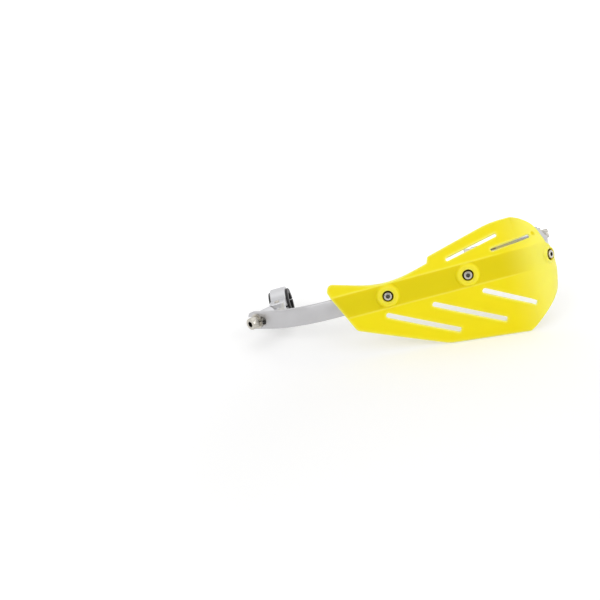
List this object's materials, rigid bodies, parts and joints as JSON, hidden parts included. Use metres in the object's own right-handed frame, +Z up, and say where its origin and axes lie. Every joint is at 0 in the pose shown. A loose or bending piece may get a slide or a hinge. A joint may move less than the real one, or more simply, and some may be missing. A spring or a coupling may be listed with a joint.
{
  "type": "motorcycle hand guard",
  "caption": "Handlebar hand guard: slotted yellow plastic shield screwed to a bent flat aluminium bar, with a handlebar clamp at the inner end and a bar-end expander at the outer end.",
  "frame": {"origin": "middle of the bounding box on the floor it rests on", "axes": "+X outboard along the bar, +Y back towards the handlebar, +Z up from the floor"},
  "size_m": [0.3498, 0.1428, 0.1185],
  "materials": {
    "yellow_plastic": "glossy translucent moulding",
    "satin_aluminium": "satin",
    "bright_aluminium": "bright turned",
    "black_plastic": "matt",
    "zinc_steel": "zinc plated",
    "dark_washer": "dark"
  },
  "bodies": {
    "root": {"shield": "yellow_plastic", "guard_bar": "satin_aluminium", "clamp_upper_half": "satin_aluminium", "clamp_lower_half": "satin_aluminium", "swivel_post": "satin_aluminium", "expander_sleeve": "bright_aluminium", "reducer_sleeve": "black_plastic", "shield_screws": "zinc_steel", "shield_nuts": "zinc_steel", "clamp_screws": "zinc_steel", "post_bolt": "zinc_steel", "post_washer": "zinc_steel", "post_lock_washer": "zinc_steel", "bar_end_bolt": "zinc_steel", "bar_end_washer": "zinc_steel", "bar_end_lock_washer": "zinc_steel", "expander_cone": "zinc_steel", "shield_washers": "dark_washer"}
  },
  "joints": []
}
